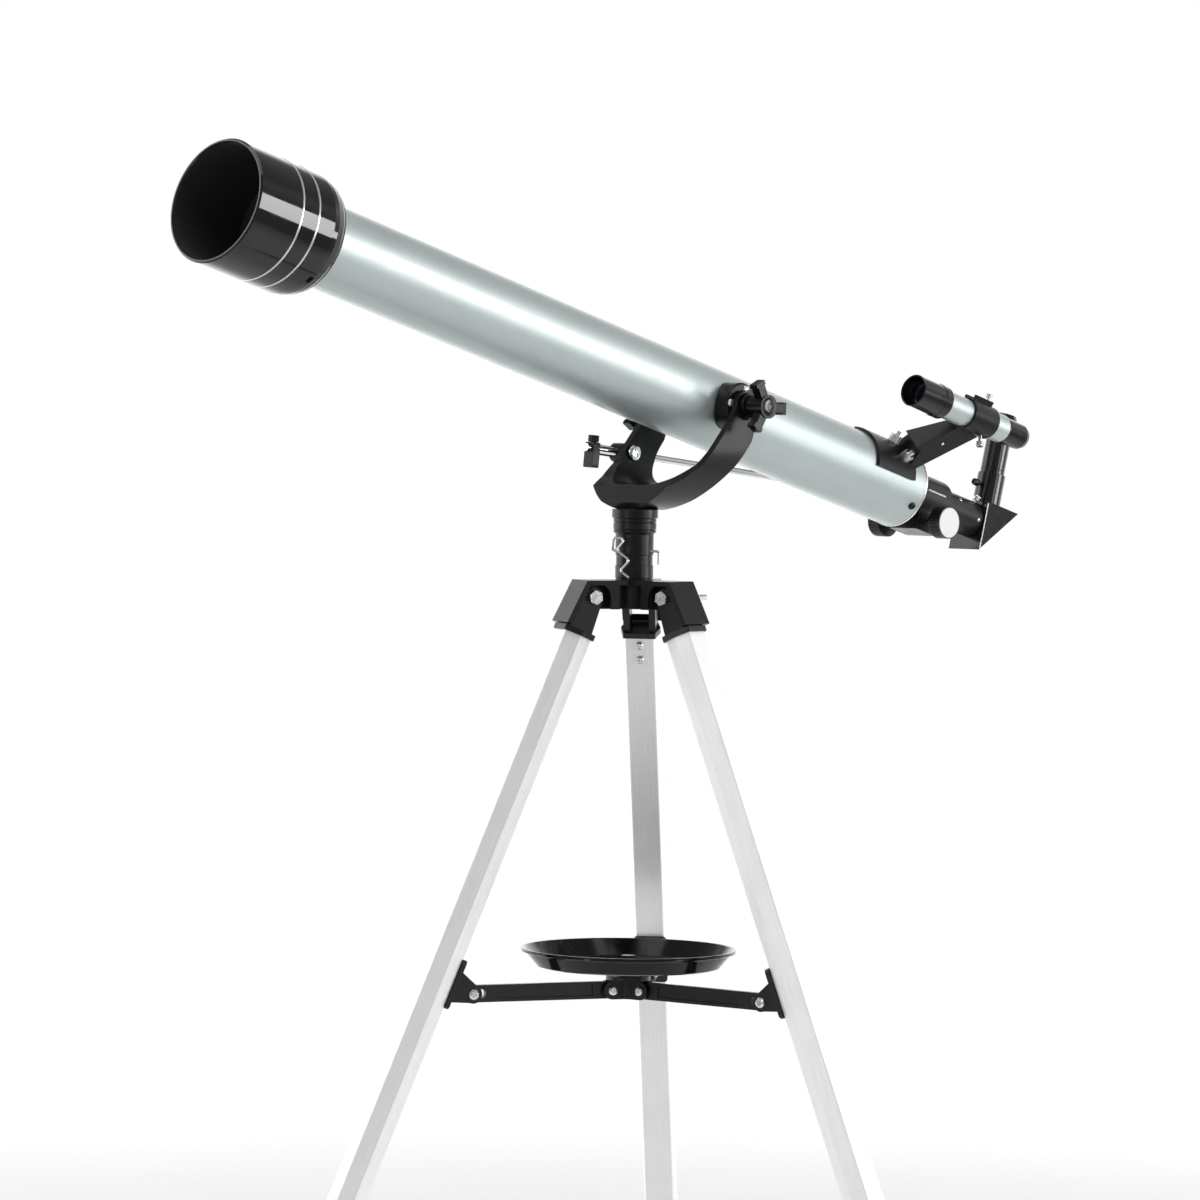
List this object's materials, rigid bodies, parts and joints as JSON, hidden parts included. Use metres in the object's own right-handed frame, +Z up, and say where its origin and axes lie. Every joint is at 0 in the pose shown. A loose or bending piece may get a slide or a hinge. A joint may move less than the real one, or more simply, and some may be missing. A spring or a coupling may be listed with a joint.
{
  "type": "telescope on tripod",
  "caption": "Small refracting telescope on a yoke mount and folding aluminium tripod, with finder, right-angle prism, slow-motion rod and accessory tray.",
  "frame": {"origin": "middle of the bottom of the whole object's box, on the floor between the three feet; the stand's upright axis is 60 mm towards -X and 3 mm towards -Y of it", "axes": "+Z up; -Y is where the tube points; X is the altitude axis, with the finder on the +X shoulder and the slow-motion rod on the -X side"},
  "size_m": [0.5061, 0.8891, 0.9651],
  "materials": {
    "silver_paint": "metallic silver paint",
    "leg_aluminium": "satin anodised",
    "cast_black": "satin black paint",
    "gloss_black": "polished",
    "black_plastic": "fine moulded grain",
    "chrome_rod": "plated",
    "steel": "zinc plated",
    "rubber": "soft matt",
    "optical_glass": "coated",
    "brass": "machined"
  },
  "bodies": {
    "stand": {"tripod_head": "cast_black", "retaining_clip": "steel"},
    "brace_hub": {"brace_hub": "black_plastic", "brace_hub_pins": "steel", "accessory_tray": "gloss_black"},
    "tray_screw": {"tray_screw": "black_plastic"},
    "yoke": {"yoke": "cast_black"},
    "rod_swivel": {"rod_swivel_clamp": "cast_black"},
    "rod_clamp_screw": {"rod_clamp_screw": "black_plastic"},
    "slow_motion_rod": {"slow_motion_rod": "chrome_rod"},
    "optical_tube": {"main_tube": "silver_paint", "altitude_bosses": "black_plastic", "rod_bracket": "cast_black", "lens_cell": "gloss_black", "objective_lenses": "optical_glass", "dew_shield": "gloss_black", "focuser_body": "black_plastic", "focuser_screws": "steel", "finder_bracket": "black_plastic", "finder_tube": "silver_paint", "finder_front_cell": "black_plastic", "finder_lenses": "optical_glass", "finder_screws": "steel"},
    "altitude_knob_left": {"altitude_knob_left": "black_plastic"},
    "altitude_knob_right": {"altitude_knob_right": "black_plastic"},
    "drawtube": {"drawtube": "cast_black"},
    "focus_pinion": {"focus_pinion": "brass", "focus_knobs": "black_plastic"},
    "diagonal": {"diagonal_body": "black_plastic", "diagonal_prism": "optical_glass"},
    "erecting_tube": {"erecting_tube": "black_plastic"},
    "eyepiece": {"eyepiece": "black_plastic"},
    "finder_eyepiece": {"finder_eyepiece": "black_plastic"},
    "leg_a": {"leg_clevis_a": "black_plastic", "upper_leg_a": "leg_aluminium", "leg_fasteners_a": "steel", "brace_bracket_a": "black_plastic", "leg_collar_a": "black_plastic"},
    "lower_leg_a": {"lower_leg_a": "leg_aluminium", "foot_a": "rubber"},
    "leg_lock_a": {"leg_lock_screw_a": "black_plastic"},
    "brace_arm_a": {"brace_arm_a": "black_plastic"},
    "leg_b": {"leg_clevis_b": "black_plastic", "upper_leg_b": "leg_aluminium", "leg_fasteners_b": "steel", "brace_bracket_b": "black_plastic", "leg_collar_b": "black_plastic"},
    "lower_leg_b": {"lower_leg_b": "leg_aluminium", "foot_b": "rubber"},
    "leg_lock_b": {"leg_lock_screw_b": "black_plastic"},
    "brace_arm_b": {"brace_arm_b": "black_plastic"},
    "leg_c": {"leg_clevis_c": "black_plastic", "upper_leg_c": "leg_aluminium", "leg_fasteners_c": "steel", "brace_bracket_c": "black_plastic", "leg_collar_c": "black_plastic"},
    "lower_leg_c": {"lower_leg_c": "leg_aluminium", "foot_c": "rubber"},
    "leg_lock_c": {"leg_lock_screw_c": "black_plastic"},
    "brace_arm_c": {"brace_arm_c": "black_plastic"}
  },
  "joints": [
    {"name": "azimuth", "type": "hinge", "parent": "stand", "child": "yoke", "pos_m": [-0.06, -0.003, 0.67655], "axis": [0, 0, 1], "continuous": true},
    {"name": "altitude", "type": "hinge", "parent": "yoke", "child": "optical_tube", "pos_m": [-0.06, 0.0694, 0.78225], "axis": [-1, 0, 0], "range_deg": [-15, 40]},
    {"name": "rod_swivel", "type": "hinge", "parent": "yoke", "child": "rod_swivel", "pos_m": [-0.1145, 0.038, 0.74525], "axis": [-1, 0, 0], "range_deg": [-13.72, 36.57]},
    {"name": "rod_slide", "type": "slide", "parent": "rod_swivel", "child": "slow_motion_rod", "axis": [0, 0.9943, -0.1066], "range_m": [-0.03052, 0.01145]},
    {"name": "rod_clamp_turn", "type": "hinge", "parent": "rod_swivel", "child": "rod_clamp_screw", "pos_m": [-0.1145, 0.00618, 0.74866], "axis": [0, 0.1066, 0.9943], "continuous": true},
    {"name": "altitude_knob_left_turn", "type": "hinge", "parent": "optical_tube", "child": "altitude_knob_left", "pos_m": [-0.01, 0.0694, 0.78225], "axis": [1, 0, 0], "continuous": true},
    {"name": "altitude_knob_right_turn", "type": "hinge", "parent": "optical_tube", "child": "altitude_knob_right", "pos_m": [-0.11, 0.0694, 0.78225], "axis": [-1, 0, 0], "continuous": true},
    {"name": "leg_a_fold", "type": "hinge", "parent": "stand", "child": "leg_a", "pos_m": [-0.02275, 0.00131, 0.63655], "axis": [-0.1149, 0.9934, 0], "range_deg": [0, 5.8]},
    {"name": "leg_a_extension", "type": "slide", "parent": "leg_a", "child": "lower_leg_a", "axis": [0.3833, 0.0444, -0.9225], "range_m": [0, 0.26]},
    {"name": "leg_a_lock_turn", "type": "hinge", "parent": "leg_a", "child": "leg_lock_a", "pos_m": [0.22827, 0.03035, 0.08429], "axis": [0.9164, 0.106, 0.3859], "continuous": true},
    {"name": "leg_b_fold", "type": "hinge", "parent": "stand", "child": "leg_b", "pos_m": [-0.08236, 0.02711, 0.63655], "axis": [-0.8028, -0.5962, 0], "range_deg": [0, 5.82]},
    {"name": "leg_b_extension", "type": "slide", "parent": "leg_b", "child": "lower_leg_b", "axis": [-0.2301, 0.3098, -0.9225], "range_m": [0, 0.26]},
    {"name": "leg_b_lock_turn", "type": "hinge", "parent": "leg_b", "child": "leg_lock_b", "pos_m": [-0.23302, 0.22997, 0.08429], "axis": [-0.55, 0.7406, 0.3859], "continuous": true},
    {"name": "leg_c_fold", "type": "hinge", "parent": "stand", "child": "leg_c", "pos_m": [-0.07489, -0.03742, 0.63655], "axis": [0.9178, -0.3971, 0], "range_deg": [0, 5.82]},
    {"name": "leg_c_extension", "type": "slide", "parent": "leg_c", "child": "lower_leg_c", "axis": [-0.1533, -0.3542, -0.9225], "range_m": [0, 0.26]},
    {"name": "leg_c_lock_turn", "type": "hinge", "parent": "leg_c", "child": "leg_lock_c", "pos_m": [-0.17525, -0.26933, 0.08429], "axis": [-0.3664, -0.8467, 0.3859], "continuous": true},
    {"name": "hub_rise", "type": "slide", "parent": "stand", "child": "brace_hub", "axis": [0, 0, 1], "range_m": [0, 0.07014]},
    {"name": "brace_arm_a_fold", "type": "hinge", "parent": "brace_hub", "child": "brace_arm_a", "pos_m": [-0.0451, -0.00128, 0.33755], "axis": [-0.1149, 0.9934, 0], "range_deg": [0, 43.24]},
    {"name": "brace_arm_b_fold", "type": "hinge", "parent": "brace_hub", "child": "brace_arm_b", "pos_m": [-0.06894, 0.00904, 0.33755], "axis": [-0.8028, -0.5962, 0], "range_deg": [0, 43.24]},
    {"name": "brace_arm_c_fold", "type": "hinge", "parent": "brace_hub", "child": "brace_arm_c", "pos_m": [-0.06596, -0.01677, 0.33755], "axis": [0.9178, -0.3971, 0], "range_deg": [0, 43.24]},
    {"name": "tray_screw_turn", "type": "hinge", "parent": "brace_hub", "child": "tray_screw", "pos_m": [-0.06, -0.003, 0.36055], "axis": [0, 0, 1], "continuous": true},
    {"name": "focus", "type": "slide", "parent": "optical_tube", "child": "drawtube", "axis": [0, 0.9641, -0.2656], "range_m": [-0.015, 0.035]},
    {"name": "focus_pinion_turn", "type": "hinge", "parent": "optical_tube", "child": "focus_pinion", "pos_m": [-0.06, 0.32131, 0.69212], "axis": [-1, 0, 0], "range_deg": [-196, 456.5]},
    {"name": "diagonal_turn", "type": "hinge", "parent": "drawtube", "child": "diagonal", "pos_m": [-0.06, 0.39719, 0.69196], "axis": [0, 0.9641, -0.2656], "continuous": true},
    {"name": "erecting_tube_slide", "type": "slide", "parent": "diagonal", "child": "erecting_tube", "axis": [0, 0.2656, 0.9641], "range_m": [0, 0.012]},
    {"name": "eyepiece_slide", "type": "slide", "parent": "erecting_tube", "child": "eyepiece", "axis": [0, 0.2656, 0.9641], "range_m": [0, 0.008]},
    {"name": "finder_focus", "type": "hinge", "parent": "optical_tube", "child": "finder_eyepiece", "pos_m": [-0.00257, 0.35599, 0.76831], "axis": [0, 0.9641, -0.2656], "continuous": true}
  ],
  "couplings": [
    {"joint": "rod_swivel", "follows": "altitude", "ratio": 0.914},
    {"joint": "rod_slide", "follows": "altitude", "m_per_rad": -0.0437},
    {"joint": "leg_b_fold", "follows": "leg_a_fold", "ratio": 1},
    {"joint": "leg_c_fold", "follows": "leg_a_fold", "ratio": 1},
    {"joint": "hub_rise", "follows": "leg_a_fold", "m_per_rad": 0.69096},
    {"joint": "brace_arm_a_fold", "follows": "leg_a_fold", "ratio": 7.4381},
    {"joint": "brace_arm_b_fold", "follows": "leg_a_fold", "ratio": 7.4381},
    {"joint": "brace_arm_c_fold", "follows": "leg_a_fold", "ratio": 7.4381},
    {"joint": "focus_pinion_turn", "follows": "focus", "rad_per_m": 227.27}
  ]
}
